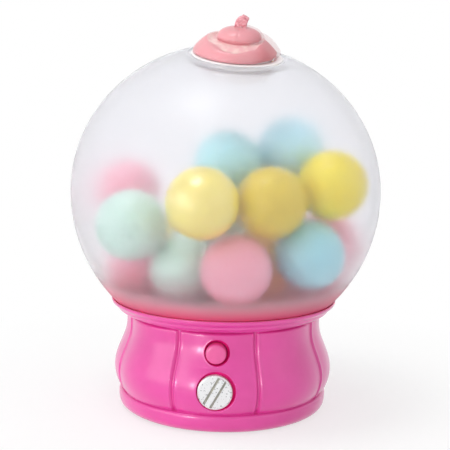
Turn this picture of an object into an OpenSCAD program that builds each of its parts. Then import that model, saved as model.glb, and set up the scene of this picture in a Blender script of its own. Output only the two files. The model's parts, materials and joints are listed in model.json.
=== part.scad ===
// Toy gumball machine: a frosted globe of gumballs on a fluted base.
// The coin knob on the front turns a turntable under the gumballs through a pinion and a crown
// gear, the small button above it is a sprung push button, and the swirl cap pulls out of the
// filling port. Millimetres, +Z up. The origin is the middle of the footprint, on the table.
// The front of the machine, with the knob and the button, faces -Y.

/* [Base] */
// Height of the base, from the table to the lip of the collar
base_h = 25.4; // [25.2:0.1:27.8]
// Diameter over the flutes where the base bulges
bulge_d = 50.1; // [46:0.1:55]
// Height of the widest part of the bulge
bulge_z = 9.3; // [8.8:0.1:9.8]
// Diameter over the flutes at the neck
neck_d = 44.4; // [40:0.1:48.8]
// Diameter of the plinth that the flutes stand on
plinth_d = 47.8; // [47.4:0.1:50]
// Height of the plinth
plinth_h = 4.4; // [4.2:0.1:4.8]
// Diameter of the lip of the collar that cups the globe
collar_d = 51.5; // [47:0.1:56]
// How far each flute stands out from the seams beside it
flute_rise = 0.64; // [0.4:0.02:0.7]
// Width of the groove along each seam
seam_w = 0.5; // [0.3:0.1:0.8]
// Depth of the groove along each seam
seam_depth = 0.3; // [0.1:0.05:0.4]

/* [Globe] */
// Outside diameter of the globe
globe_d = 70; // [62:0.5:78]
// Thickness of the globe's wall
globe_wall = 1.0; // [0.8:0.1:1.1]
// How much the top of the globe is flattened
globe_flattening = 0.05; // [0.03:0.005:0.06]
// Angle that the port and its cap lean from upright
port_lean = 13.2; // [0:0.1:15]
// Direction that the port leans in, round +Z from +X: -90 is straight to the front
port_turn = -71; // [-180:1:180]
// Clear diameter of the filling port
port_d = 16.0; // [15.8:0.1:16.4]

/* [Gumballs] */
// Diameter of a gumball
gumball_d = 15.4; // [14:0.1:15.4]

/* [Cap] */
// Diameter of the cap's rim
cap_d = 19.2; // [18.8:0.1:20]
// Height of the lower, wider swirl over the rim
swirl_low_h = 3.7; // [3.4:0.1:4.4]
// Height of the upper swirl over the rim
swirl_high_h = 6.2; // [5.8:0.1:6.8]
// Height of the twisted tip over the rim
tip_h = 8.6; // [8:0.1:9.6]
// Thickness of the cap's parts and of the plug below it
cap_wall = 1.2; // [1:0.1:1.4]

/* [Coin knob] */
// Diameter of the knob
knob_d = 7.8; // [7.4:0.1:8]
// Diameter of the round recess around the knob
knob_recess_d = 9.1; // [9:0.1:9.4]
// Height of the knob's axis over the table
knob_z = 9.7; // [9.6:0.1:9.8]
// Width of the grip bar across the knob
bar_w = 1.6; // [1.2:0.1:2]
// Angle of the grip bar from level
bar_angle = 61; // [0:1:180]
// Diameter of the knob's shaft
shaft_d = 3; // [2.8:0.1:3.2]

/* [Push button] */
// Diameter of the button
button_d = 4.5; // [4.3:0.1:4.6]
// Diameter of the round recess around the button
button_recess_d = 5.6; // [5.5:0.1:5.8]
// Height of the button's axis over the table
button_z = 17.7; // [17.6:0.05:17.8]
// Travel of the button
button_travel = 1.0; // [0.6:0.1:1.2]

/* [Drive] */
// Teeth of the pinion on the knob's shaft
pinion_teeth = 8; // [7:1:9]
// Teeth of the crown gear under the turntable
crown_teeth = 20; // [18:1:22]
// Pitch radius of the pinion
pinion_r = 4.8; // [4.4:0.05:5.2]
// Diameter of the turntable's spindle
spindle_d = 3; // [2.8:0.1:3.2]
// Radial clearance of each shaft in its bush
running_gap = 0.05; // [0.03:0.01:0.08]

/* [Hidden] */
$fn = 96;
eps = 0.01;
flutes = 8;
flute_angle = 360 / flutes;
// clearance between parts that pass each other, and between parts that rest on each other
pass_gap = 0.35;
rest_gap = 0.05;

bulge_r = bulge_d / 2;
neck_r = neck_d / 2;
plinth_r = plinth_d / 2;
collar_r = collar_d / 2;
neck_z = base_h - 5.6;
flute_top_z = base_h - 3.4;
flute_foot_r = bulge_r - 1.45;
// a flute is round about an axis this far out from the middle
flute_offset = flute_rise * 9.6;

shell_wall = 1.9;
shell_bottom_z = 0.3;
ledge_z = base_h - 4.2;
ledge_t = 1.2;
seat_z = ledge_z + ledge_t;
neck_bore_r = neck_r - shell_wall + 0.1;

globe_r = globe_d / 2;
cup_gap = 0.1;
// the globe's surface meets the inner edge of the collar's lip
lip_t = 0.3;
globe_z = base_h + sqrt(pow(globe_r + cup_gap, 2) - pow(collar_r - lip_t, 2));
cup_foot_r = sqrt(pow(globe_r + cup_gap, 2) - pow(globe_z - seat_z, 2));
// the collar grows out of the neck, and stands outside the foot of the cup
collar_root_r = max(neck_r, cup_foot_r);
collar_root_z = flute_top_z - (collar_root_r - neck_r);
globe_cut_z = seat_z + rest_gap;
globe_inner_r = globe_r - globe_wall;
globe_foot_r = sqrt(pow(globe_inner_r, 2) - pow(globe_z - globe_cut_z, 2));
// the ring's screws stand inside the neck's bore and inside the globe's foot
ring_screw_r = min(neck_bore_r, globe_foot_r - 0.1) - 1.9;
ledge_hole_r = ring_screw_r - 2.3;
dome_h = globe_r * (1 - globe_flattening);
dome_inner_h = dome_h - globe_wall;

// the port's frame: heights along the leaned axis from the middle of the globe
port_face_s = dome_h - 2.1;
port_ring_t = 1.5;
port_r = port_d / 2;
port_ring_r = port_r + 2.8;
seal_t = 0.5;
rim_s = port_face_s + seal_t + rest_gap;

floor_z = base_h + 0.6;
turntable_t = 1.4;
turntable_r = sqrt(pow(globe_inner_r, 2) - pow(globe_z - floor_z + turntable_t, 2)) - 0.4;
ring_top_z = floor_z - turntable_t - 0.4;
ring_bore_r = ledge_hole_r + 0.6;

deck_t = 1.0;
deck_z = ledge_z - deck_t;
deck_r = neck_bore_r - 0.3;
ring_screw_angles = [30, 150, 330];

bush_flange_t = 1;
bush_flange_r = 4.2;
bush_body_r = 2.9;
bush_bottom_z = deck_z - 0.3;
bush_top_z = ledge_z + bush_flange_t;
spindle_r = spindle_d / 2;

tooth_pitch = 2 * PI * pinion_r / pinion_teeth;
crown_r = pinion_r * crown_teeth / pinion_teeth;
addendum = 1.15;
dedendum = 1.5;
gear_face_w = 3;
crown_pitch_z = knob_z + pinion_r;
crown_disc_t = 1.0;
crown_disc_z = crown_pitch_z + dedendum;
crown_rim_r = crown_r + gear_face_w / 2 + 0.3;
crown_hub_top_z = bush_bottom_z - 0.2;
spindle_bottom_z = crown_disc_z - 1.3;

shaft_r = shaft_d / 2;
knob_floor_y = -(bulge_r - 1.95);
knob_back_y = knob_floor_y - pass_gap;
knob_front_y = -(bulge_r - 0.35);
bar_front_y = -(bulge_r + 0.25);
knob_boss_y = knob_floor_y + 4.5;
shaft_end_y = -crown_r + gear_face_w / 2 + 0.9;
knob_bush_flange_t = 0.8;

button_r = button_d / 2;
button_front_y = -(neck_r + 1.35);
button_shelf_y = -(neck_r - 0.7);
button_back_y = button_shelf_y + 1.2;
button_floor_y = button_shelf_y + 2.5;
button_boss_y = button_floor_y + 1.4;
button_stem_r = 0.9;
button_stem_y = button_boss_y + 0.9;
pocket_r = 1.75;
pocket_y = button_shelf_y - 0.4;
spring_wire_d = 0.3;
spring_r = 1.35;
spring_turns = 5;

plate_t = 1.5;
plate_z = shell_bottom_z + 0.7;
plate_r = plinth_r - 2.6;
foot_r = 3;
foot_h = plate_z;
foot_ring_r = 16.5;
base_screw_r = 18.2;
base_screw_angles = [45, 135, 225, 315];
screw_r = 0.9;
screw_head_r = 1.5;
screw_head_t = 0.9;

// The heap of gumballs is drawn for this size of gumball and this globe, and then fitted.
heap_ball_r = 7.7;
heap_globe_r = 34;
heap_globe_z = 23.57;
heap_gap = 0.2;
floor_gap = 0.1;
// Each gumball's azimuth in degrees, the height of its middle over the floor, and how far it
// lies inside the gumballs that touch the globe's wall.
GUMBALLS = [
    [221.5, 17.9, 0],    // mint, front left
    [263, 24.2, 0],      // yellow, front
    [280, 9.7, 0],       // pink, front
    [325, 11.9, 0],      // blue, front right
    [336, 26.8, 0],      // yellow, right
    [299.5, 23.8, 4.2],  // yellow, behind the front one
    [236, 7.8, 4.8],     // mint, low
    [277, 30.2, 17],     // teal, on top
    [4, 33, 8.8],        // pale blue, on top
    [156, 21.6, 0],      // pink, back left
    [182.5, 7.8, 1.5],   // pink, low left
    [347, 7.8, 8],       // orange, low
    [136, 7.8, 0],       // yellow, low back
    [48, 7.8, 0],        // blue, low back
    [8, 11.7, 0],        // pink, right
    [92, 7.8, 0],        // mint, low back
    [42, 20.1, 14.3],    // orange, middle
    [143, 13, 13.9]      // pale blue, middle
];
GUMBALL_COLOURS = ["#CDE3D8", "#EBD24A", "#E9A0B2", "#A4D3DB", "#EBD24A", "#DDBF3A", "#C6DCCF",
    "#A9D6D7", "#B4DFE4", "#E6A2B6", "#E6A2B6", "#E8A95C", "#EBD24A", "#A4D3DB", "#E9A0B2",
    "#CDE3D8", "#E8A95C", "#B4DFE4"];
FIXED_NODES = ["base_shell", "base_plate", "base_screws", "feet", "bearing_deck", "spindle_bush",
    "ring_screws", "globe", "globe_ring", "port_seal", "knob_bush", "button_spring"];
MOVING_NODES = ["turntable", "spindle", "crown_gear", "spindle_clip", "coin_knob", "knob_shaft",
    "pinion", "knob_clip", "push_button", "button_clip", "swirl_cap", "cap_plug", "cap_seal"];

BASE_PINK = "#EC5FAA";
METAL = "#B9BCC0";
WHITE_PLASTIC = "#E9E7E1";

// ---- helpers -------------------------------------------------------------------------------

// A cylinder along +Y from y0 to y1, at height z.
module along_y(r, y0, y1, z = 0) {
    translate([0, y0, z]) rotate([-90, 0, 0]) cylinder(r = r, h = y1 - y0);
}

// Children placed in the port's leaned frame, whose origin is the middle of the globe.
module port_frame() {
    translate([0, 0, globe_z]) rotate([0, 0, port_turn]) rotate([0, port_lean, 0])
        rotate([0, 0, -port_turn]) children();
}

// Children at radius r and each of the angles.
module around(r, angles) {
    for (a = angles) rotate([0, 0, a]) translate([r, 0, 0]) children();
}

// A round shaft from z0 to z1 with a flat on +X over its first flat_h, for a keyed hub.
module flatted_shaft(r, z0, z1, flat_h) {
    difference() {
        translate([0, 0, z0]) cylinder(r = r, h = z1 - z0);
        translate([0.68 * r, -r, z0 - eps]) cube([r, 2 * r, flat_h + eps]);
    }
}

// The outline of an E-clip: a ring around the shaft, open towards +X.
module clip_outline(shaft, rim) {
    difference() {
        circle(r = rim);
        circle(r = shaft);
        translate([0, -0.7 * shaft]) square([rim + 1, 1.4 * shaft]);
    }
}

// A pan-head screw pointing up, its head's underside at height 0.
module screw(length) {
    difference() {
        translate([0, 0, -screw_head_t]) cylinder(r = screw_head_r, h = screw_head_t);
        translate([-0.9, -0.2, -screw_head_t - eps]) cube([1.8, 0.4, 0.4]);
        translate([-0.2, -0.9, -screw_head_t - eps]) cube([0.4, 1.8, 0.4]);
    }
    translate([0, 0, -eps]) cylinder(r = screw_r, h = length + eps);
}

// ---- base ----------------------------------------------------------------------------------

// Radius of a flute's crest at height z.
function flute_r(z) = z >= bulge_z
    ? neck_r + (bulge_r - neck_r) * (1 + cos(180 * min(1, (z - bulge_z) / (neck_z - bulge_z)))) / 2
    : bulge_r - (bulge_r - flute_foot_r) * pow((bulge_z - z) / (bulge_z - plinth_h), 2);

// Radius of the seam between two flutes at height z.
function seam_r(z) = let (r = flute_r(z) - flute_offset, a = flute_angle / 2)
    flute_offset * cos(a) + sqrt(pow(r, 2) - pow(flute_offset * sin(a), 2));

flute_steps = 12;
flute_edge = 0.5;
flute_bottom_z = plinth_h - 0.3;
flute_side_h = flute_top_z - flute_edge - flute_bottom_z;
flute_heights = [for (i = [0:flute_steps]) flute_bottom_z + i * flute_side_h / flute_steps];

// One flute, round about its own axis, with a flat side along each of its two seams.
module flute() {
    crest = [for (z = flute_heights) [flute_r(z) - flute_offset, z]];
    top_r = flute_r(flute_top_z) - flute_offset;
    apex = seam_w / 2 / sin(flute_angle / 2);
    reach = 40;
    half_w = reach * tan(flute_angle / 2);
    intersection() {
        translate([0, -flute_offset, 0]) rotate_extrude()
            polygon(concat([[0, flute_bottom_z]], crest,
                [[top_r - 0.15, flute_top_z - 0.15], [top_r - 0.6, flute_top_z], [0, flute_top_z]]));
        translate([0, -apex, 0]) linear_extrude(base_h)
            polygon([[0, 0], [-half_w, -reach], [half_w, -reach]]);
    }
}

// The wall that the flutes stand on: it is the floor of the grooves between them.
module flute_core() {
    wall = [for (z = flute_heights) [seam_r(z) - seam_depth, z]];
    rotate_extrude() polygon(concat([[0, flute_bottom_z]], wall,
        [[seam_r(flute_top_z) - seam_depth, flute_top_z], [0, flute_top_z]]));
}

// The plinth, with a rounded foot and a softened top edge.
module plinth() {
    foot_round = 2;
    rotate_extrude() polygon(concat(
        [[0, shell_bottom_z]],
        [for (a = [-90:15:0]) [plinth_r - foot_round + foot_round * cos(a),
                               shell_bottom_z + foot_round + foot_round * sin(a)]],
        [[plinth_r, plinth_h - 0.5], [plinth_r - 0.15, plinth_h - 0.15],
         [plinth_r - 0.6, plinth_h], [0, plinth_h]]));
}

// The collar: a bead under a flared lip.
module collar() {
    bead_r = collar_r - 1.25;
    rotate_extrude() polygon([
        [0, collar_root_z - 0.6], [neck_r - 0.75, collar_root_z - 0.6],
        [neck_r + 0.1, collar_root_z], [collar_root_r + 0.1, flute_top_z],
        [collar_root_r + 0.9, flute_top_z + 0.45], [bead_r - 0.15, flute_top_z + 1.3],
        [bead_r, flute_top_z + 1.75], [bead_r + 0.1, flute_top_z + 1.85],
        [collar_r - 0.45, flute_top_z + 2.3], [collar_r - 0.1, flute_top_z + 2.75],
        [collar_r, flute_top_z + 3.1], [collar_r - 0.08, base_h - 0.08],
        [collar_r - 0.3, base_h], [0, base_h]]);
}

// The hollow under the ledge: it follows the flutes at the wall's thickness.
module base_cavity() {
    wall_h = [for (z = [plinth_h + 1.5:1.5:neck_z - 0.4]) z];
    rotate_extrude() polygon(concat(
        [[0, shell_bottom_z - 1], [plinth_r - 2.3, shell_bottom_z - 1],
         [plinth_r - 2.3, plinth_h - 1.4]],
        [for (z = wall_h) [min(flute_r(z), bulge_r - 0.35) - shell_wall + 0.1, z]],
        [[neck_bore_r, neck_z], [neck_bore_r, ledge_z], [0, ledge_z]]));
}

module base_shell() {
    color(BASE_PINK) difference() {
        union() {
            difference() {
                union() {
                    flute_core();
                    for (i = [0:flutes - 1]) rotate([0, 0, i * flute_angle]) flute();
                    plinth();
                    collar();
                }
                base_cavity();
                // the opening in the ledge, and the cup that holds the globe
                translate([0, 0, ledge_z - 1]) cylinder(r = ledge_hole_r, h = 10);
                intersection() {
                    translate([0, 0, globe_z]) sphere(r = globe_r + cup_gap);
                    translate([0, 0, seat_z]) cylinder(r = 40, h = 40);
                }
            }
            // bosses behind the knob and the button
            along_y(knob_recess_d / 2 + 0.8, knob_floor_y + 0.2, knob_floor_y + 2.5, knob_z);
            along_y(3.5, knob_floor_y + 1.1, knob_boss_y, knob_z);
            along_y(button_r + 1.1, button_shelf_y - 0.1, button_boss_y, button_z);
            // posts for the base screws, joined to the wall
            around(base_screw_r, base_screw_angles) {
                translate([0, 0, plate_z + plate_t + rest_gap]) cylinder(r = 2.2, h = 7);
                translate([0, -1, plate_z + plate_t + 0.8]) cube([4.4, 2, 6]);
            }
        }
        // round recess, bush hole, and the button's stepped bore
        along_y(knob_recess_d / 2, -30, knob_floor_y, knob_z);
        along_y(shaft_r + 1, knob_floor_y - 1, knob_boss_y + 1, knob_z);
        along_y(button_recess_d / 2, -30, button_shelf_y, button_z);
        along_y(button_r + 0.1, -30, button_floor_y, button_z);
        along_y(button_stem_r + 0.08, button_floor_y - 1, button_boss_y + 1, button_z);
        // clearance holes for the ring screws, pilot holes for the base screws
        around(ring_screw_r, ring_screw_angles) translate([0, 0, ledge_z - 1])
            cylinder(r = screw_r + 0.1, h = 4);
        around(base_screw_r, base_screw_angles) translate([0, 0, plate_z])
            cylinder(r = screw_r, h = 6.2);
    }
}

module base_plate() {
    color(BASE_PINK) difference() {
        translate([0, 0, plate_z]) cylinder(r = plate_r, h = plate_t);
        around(base_screw_r, base_screw_angles) translate([0, 0, plate_z - 1]) {
            cylinder(r = screw_r + 0.15, h = plate_t + 2);
            cylinder(r = screw_head_r + 0.2, h = 1 + 0.6);
        }
    }
}

module base_screws() {
    color(METAL) around(base_screw_r, base_screw_angles)
        translate([0, 0, plate_z + 0.55]) screw(5);
}

module feet() {
    color("#D9D4D6") around(foot_ring_r, [0, 90, 180, 270]) cylinder(r = foot_r, h = foot_h);
}

// ---- globe ---------------------------------------------------------------------------------

// Points of the globe's outline, from its foot up to the axis: the upper half is flattened.
function globe_points(r, h) = let (foot = asin((globe_z - globe_cut_z) / r)) concat(
    [for (i = [0:12]) let (a = foot * (i / 12 - 1)) [r * cos(a), globe_z + r * sin(a)]],
    [for (a = [3:3:90]) [r * cos(a), globe_z + h * sin(a)]]);

module globe() {
    inside = globe_points(globe_inner_r, dome_inner_h);
    color("#EDEDF1", 0.45) difference() {
        union() {
            rotate_extrude() polygon(concat(globe_points(globe_r, dome_h),
                [for (i = [len(inside) - 1:-1:0]) inside[i]]));
            // thickened ring around the port
            port_frame() translate([0, 0, port_face_s - port_ring_t])
                cylinder(r = port_ring_r, h = port_ring_t + 0.4);
        }
        port_frame() {
            translate([0, 0, port_face_s]) cylinder(r = port_ring_r + 3, h = 10);
            translate([0, 0, port_face_s - 10]) cylinder(r = port_r, h = 20);
        }
    }
}

// The ring inside the globe's lower edge that clamps it down into the cup.
module globe_ring() {
    clamp_gap = 0.08;
    steps = 4;
    rise = ring_top_z - globe_cut_z;
    rim = [for (i = [0:steps]) let (z = globe_cut_z + i * rise / steps)
        [sqrt(pow(globe_inner_r, 2) - pow(globe_z - z, 2)) - clamp_gap, z]];
    color(BASE_PINK) difference() {
        rotate_extrude() polygon(concat([[ring_bore_r, globe_cut_z]], rim, [[ring_bore_r, ring_top_z]]));
        around(ring_screw_r, ring_screw_angles) translate([0, 0, globe_cut_z - 1])
            cylinder(r = screw_r, h = 1 + rise - 0.3);
    }
}

module ring_screws() {
    color(METAL) around(ring_screw_r, ring_screw_angles)
        translate([0, 0, deck_z - rest_gap]) screw(ring_top_z - deck_z - 0.6);
}

module port_seal() {
    color("#F3E9EC", 0.6) port_frame() translate([0, 0, port_face_s]) difference() {
        cylinder(r = cap_d / 2 + 0.5, h = seal_t);
        translate([0, 0, -1]) cylinder(r = port_r + 0.15, h = 3);
    }
}

// ---- turntable and its drive ---------------------------------------------------------------

module bearing_deck() {
    color(WHITE_PLASTIC) difference() {
        translate([0, 0, deck_z]) cylinder(r = deck_r, h = deck_t - rest_gap);
        translate([0, 0, deck_z - 1]) cylinder(r = bush_body_r, h = 4);
        // notch over the button's boss
        translate([-4.2, -30, deck_z - 1]) cube([8.4, 30 + button_stem_y + button_travel + 0.3, 4]);
        around(ring_screw_r, ring_screw_angles) translate([0, 0, deck_z - 1])
            cylinder(r = screw_r + 0.1, h = 4);
        around(10, [0, 60, 120, 180, 240, 300]) translate([0, 0, deck_z - 1])
            cylinder(r = 2.6, h = 4);
    }
}

module spindle_bush() {
    color("#C9A35A") difference() {
        union() {
            translate([0, 0, bush_bottom_z]) cylinder(r = bush_body_r, h = bush_top_z - bush_bottom_z);
            translate([0, 0, ledge_z]) cylinder(r = bush_flange_r, h = bush_flange_t);
        }
        translate([0, 0, bush_bottom_z - 1]) cylinder(r = spindle_r + running_gap, h = 10);
    }
}

module turntable() {
    under_z = floor_z - turntable_t;
    hub_z = bush_top_z + 0.2;
    color(BASE_PINK) difference() {
        union() {
            translate([0, 0, under_z]) cylinder(r = turntable_r, h = turntable_t);
            translate([0, 0, hub_z]) cylinder(r = 4, h = under_z - hub_z + eps);
            // stiffening ring under the disc
            translate([0, 0, under_z - 0.9]) difference() {
                cylinder(r = ring_bore_r - 2.8, h = 0.9 + eps);
                translate([0, 0, -1]) cylinder(r = ring_bore_r - 4, h = 3);
            }
        }
        translate([0, 0, hub_z - 1]) cylinder(r = spindle_r, h = floor_z - 0.6 - hub_z + 1);
    }
}

module spindle() {
    color(METAL) flatted_shaft(spindle_r, spindle_bottom_z, floor_z - 0.6,
                               crown_hub_top_z - spindle_bottom_z);
}

// A tooth of the crown gear, pointing down, with its root at height 0.
module crown_tooth() {
    root_w = 0.58 * tooth_pitch;
    tip_w = 0.20 * tooth_pitch;
    h = addendum + dedendum;
    translate([0, gear_face_w / 2, 0]) rotate([90, 0, 0]) linear_extrude(gear_face_w)
        polygon([[-root_w / 2, 0.2], [-root_w / 2, 0], [-tip_w / 2, -h], [tip_w / 2, -h],
                 [root_w / 2, 0], [root_w / 2, 0.2]]);
}

module crown_gear() {
    color(WHITE_PLASTIC) difference() {
        union() {
            translate([0, 0, crown_disc_z]) cylinder(r = crown_rim_r, h = crown_disc_t);
            translate([0, 0, crown_disc_z]) cylinder(r = 3.4, h = crown_hub_top_z - crown_disc_z);
            for (i = [0:crown_teeth - 1]) rotate([0, 0, (i + 0.5) * 360 / crown_teeth])
                translate([0, -crown_r, crown_disc_z]) crown_tooth();
        }
        flatted_shaft(spindle_r, spindle_bottom_z, crown_hub_top_z + 1, 8);
        around(7.4, [0, 72, 144, 216, 288]) translate([0, 0, crown_disc_z - 1])
            cylinder(r = 2, h = 4);
    }
}

module spindle_clip() {
    color(METAL) translate([0, 0, crown_disc_z - 0.65]) linear_extrude(0.5)
        clip_outline(spindle_r, spindle_r + 1.3);
}

// Outline of the pinion, with one tooth pointing along +Y.
module pinion_outline() {
    root_r = pinion_r - dedendum + 0.2;
    tip_r = pinion_r + addendum - 0.1;
    root_w = 0.5 * tooth_pitch;
    tip_w = 0.20 * tooth_pitch;
    tooth = [[root_w / 2, root_r], [tip_w / 2, tip_r], [-tip_w / 2, tip_r], [-root_w / 2, root_r]];
    polygon([for (i = [0:pinion_teeth - 1], p = tooth) let (a = i * 360 / pinion_teeth)
        [p[0] * cos(a) - p[1] * sin(a), p[0] * sin(a) + p[1] * cos(a)]]);
}

module pinion() {
    color("#D6CFC0") translate([0, -crown_r, knob_z]) rotate([90, 0, 0]) difference() {
        linear_extrude(gear_face_w, center = true) pinion_outline();
        flatted_shaft(shaft_r, -5, 5, 10);
    }
}

// ---- coin knob -----------------------------------------------------------------------------

module knob_bush() {
    color("#C9A35A") difference() {
        union() {
            along_y(shaft_r + 1, knob_floor_y, knob_boss_y, knob_z);
            along_y(3.3, knob_boss_y, knob_boss_y + knob_bush_flange_t, knob_z);
        }
        along_y(shaft_r + running_gap, -30, -10, knob_z);
    }
}

module knob_shaft() {
    color(METAL) difference() {
        along_y(shaft_r, knob_front_y + 0.7, shaft_end_y, knob_z);
        translate([0.68 * shaft_r, -crown_r - gear_face_w / 2 - eps, knob_z - shaft_r])
            cube([shaft_r, 10, 2 * shaft_r]);
    }
}

module coin_knob() {
    knob_r = knob_d / 2;
    color("#EEF1F3") difference() {
        union() {
            along_y(knob_r - 0.25, knob_front_y, knob_back_y, knob_z);
            along_y(knob_r, knob_front_y + 0.25, knob_back_y, knob_z);
            intersection() {
                along_y(knob_r - 0.25, bar_front_y, knob_back_y, knob_z);
                translate([0, 0, knob_z]) rotate([0, -bar_angle, 0])
                    translate([-knob_r, bar_front_y, -bar_w / 2]) cube([2 * knob_r, 1, bar_w]);
            }
        }
        along_y(shaft_r, knob_front_y + 0.7, 0, knob_z);
        // shallow grooves beside the grip bar
        for (side = [-1, 1]) translate([0, 0, knob_z]) rotate([0, -bar_angle, 0])
            translate([-knob_r - 1, knob_front_y - eps, side * (bar_w / 2 + 0.16) - 0.16])
                cube([2 * knob_r + 2, 0.22, 0.32]);
    }
}

// The clip behind the bush that keeps the shaft from being pulled out.
module knob_clip() {
    color(METAL) translate([0, knob_boss_y + knob_bush_flange_t + 0.15, knob_z]) rotate([-90, 0, 0])
        linear_extrude(0.5) clip_outline(shaft_r, shaft_r + 1.3);
}

// ---- push button ---------------------------------------------------------------------------

module push_button() {
    color("#E8619F") difference() {
        union() {
            along_y(button_r - 0.3, button_front_y, button_back_y, button_z);
            along_y(button_r, button_front_y + 0.3, button_back_y, button_z);
            along_y(button_stem_r, pocket_y - 0.5, button_stem_y, button_z);
        }
        difference() {
            along_y(pocket_r, pocket_y, button_back_y + 1, button_z);
            along_y(button_stem_r, pocket_y - 1, button_back_y + 2, button_z);
        }
    }
}

module button_clip() {
    color(METAL) translate([0, button_boss_y + 0.12, button_z]) rotate([-90, 0, 0])
        linear_extrude(0.4) clip_outline(button_stem_r, button_stem_r + 0.9);
}

// The return spring, each turn a ring, joined by a thin side bar, between pocket and boss.
module button_spring() {
    length = button_floor_y - pocket_y - 0.06 - spring_wire_d;
    color(METAL) translate([0, pocket_y + 0.03 + spring_wire_d / 2, button_z]) rotate([-90, 0, 0]) {
        for (i = [0:spring_turns - 1]) translate([0, 0, i * length / (spring_turns - 1)])
            rotate_extrude() translate([spring_r, 0]) circle(d = spring_wire_d, $fn = 24);
        translate([spring_r, 0, 0]) cylinder(d = spring_wire_d * 0.9, h = length, $fn = 24);
    }
}

// ---- cap -----------------------------------------------------------------------------------

// A rounded tier of the swirl: a disc of radius r from s0 to s1 whose side bulges out.
module tier(r, s0, s1) {
    h = s1 - s0;
    rotate_extrude() polygon(concat([[0, s0]],
        [for (a = [-60:15:90]) [r - h / 2 + h / 2 * cos(a), (s0 + s1) / 2 + h / 2 * sin(a)]],
        [[0, s1]]));
}

module swirl_cap() {
    tip_r = 1.45;
    color("#E8929C") port_frame() difference() {
        union() {
            translate([0, 0, rim_s]) cylinder(r = cap_d / 2 - 0.3, h = 0.8);
            tier(cap_d / 2, rim_s + 0.1, rim_s + swirl_low_h);
            translate([0.6, 0, 0]) tier(5.1, rim_s + swirl_low_h - 1.4, rim_s + swirl_high_h);
            translate([0.8, 0, rim_s + swirl_high_h - 1]) rotate([0, 8, 0])
                cylinder(r1 = tip_r + 0.3, r2 = tip_r - 0.2, h = tip_h - swirl_high_h + 0.9);
        }
        // the plug's spigot sits in this pocket
        translate([0, 0, rim_s - 1]) cylinder(r = port_r - 2.2, h = 1 + 1.6);
    }
}

module cap_plug() {
    plug_r = port_r - 0.35;
    groove_s = port_face_s - 0.75;
    color("#F0E3E6", 0.8) port_frame() difference() {
        union() {
            translate([0, 0, rim_s - 4.6]) cylinder(r = plug_r, h = 4.55);
            translate([0, 0, rim_s - 1]) cylinder(r = port_r - 2.25, h = 2.4);
        }
        translate([0, 0, rim_s - 5]) cylinder(r = plug_r - cap_wall, h = 3.2);
        // groove for the O-ring
        translate([0, 0, groove_s - 0.45]) difference() {
            cylinder(r = plug_r + 1, h = 0.9);
            translate([0, 0, -1]) cylinder(r = plug_r - 0.6, h = 3);
        }
    }
}

module cap_seal() {
    seal_r = 0.42;
    color("#C9C4C6") port_frame() translate([0, 0, port_face_s - 0.75]) rotate_extrude()
        translate([port_r - 0.05 - seal_r, 0]) circle(r = seal_r, $fn = 32);
}

// ---- gumballs ------------------------------------------------------------------------------

// The middle of a gumball in the heap as drawn, over the middle of the floor.
function heap_point(g) = let (reach = heap_globe_r - heap_ball_r - heap_gap - g[2],
        h = max(g[1], heap_ball_r + floor_gap), r = sqrt(pow(reach, 2) - pow(heap_globe_z - h, 2)))
    [r * cos(g[0]), r * sin(g[0]), h];

// The scale at which a gumball of the heap just reaches the globe's wall.
function wall_scale(p) = let (h = globe_z - floor_z, r = globe_inner_r - heap_gap,
        a = p * p - pow(heap_ball_r, 2), b = p[2] * h - heap_ball_r * r)
    (b + sqrt(pow(b, 2) + a * (pow(r, 2) - pow(h, 2)))) / a;

heap_scale = min(gumball_d / 2 / heap_ball_r, min([for (g = GUMBALLS) wall_scale(heap_point(g))]));

module gumball(i) {
    color(GUMBALL_COLOURS[i]) translate([0, 0, floor_z]) translate(heap_scale * heap_point(GUMBALLS[i]))
        sphere(r = heap_scale * heap_ball_r);
}

// ---- drawing -------------------------------------------------------------------------------

base_shell();
base_plate();
base_screws();
feet();
bearing_deck();
spindle_bush();
ring_screws();
globe();
globe_ring();
port_seal();
knob_bush();
button_spring();
turntable();
spindle();
crown_gear();
spindle_clip();
coin_knob();
knob_shaft();
pinion();
knob_clip();
push_button();
button_clip();
swirl_cap();
cap_plug();
cap_seal();
for (i = [0:len(GUMBALLS) - 1])
    gumball(i);
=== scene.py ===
import json
import math
import random

import bmesh
import bpy
from mathutils import Matrix, Vector, noise


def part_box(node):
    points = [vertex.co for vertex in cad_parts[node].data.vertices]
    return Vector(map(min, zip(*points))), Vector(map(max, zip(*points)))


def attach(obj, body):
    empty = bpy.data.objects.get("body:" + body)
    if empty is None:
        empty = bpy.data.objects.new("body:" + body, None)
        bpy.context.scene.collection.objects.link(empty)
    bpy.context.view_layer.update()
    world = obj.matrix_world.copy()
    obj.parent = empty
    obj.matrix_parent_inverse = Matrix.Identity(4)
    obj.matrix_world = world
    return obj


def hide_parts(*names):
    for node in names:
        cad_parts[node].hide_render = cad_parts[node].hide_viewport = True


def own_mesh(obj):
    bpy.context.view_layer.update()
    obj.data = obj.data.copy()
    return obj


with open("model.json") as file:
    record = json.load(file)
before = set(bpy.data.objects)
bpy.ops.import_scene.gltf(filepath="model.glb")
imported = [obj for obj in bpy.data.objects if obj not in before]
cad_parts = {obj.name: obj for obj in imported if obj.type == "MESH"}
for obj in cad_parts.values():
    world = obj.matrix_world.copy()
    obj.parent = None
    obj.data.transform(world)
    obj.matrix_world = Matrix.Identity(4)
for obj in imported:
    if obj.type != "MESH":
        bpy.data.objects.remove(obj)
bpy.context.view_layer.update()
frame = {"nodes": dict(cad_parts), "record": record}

nodes = frame["nodes"]
MM = 0.001

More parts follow.
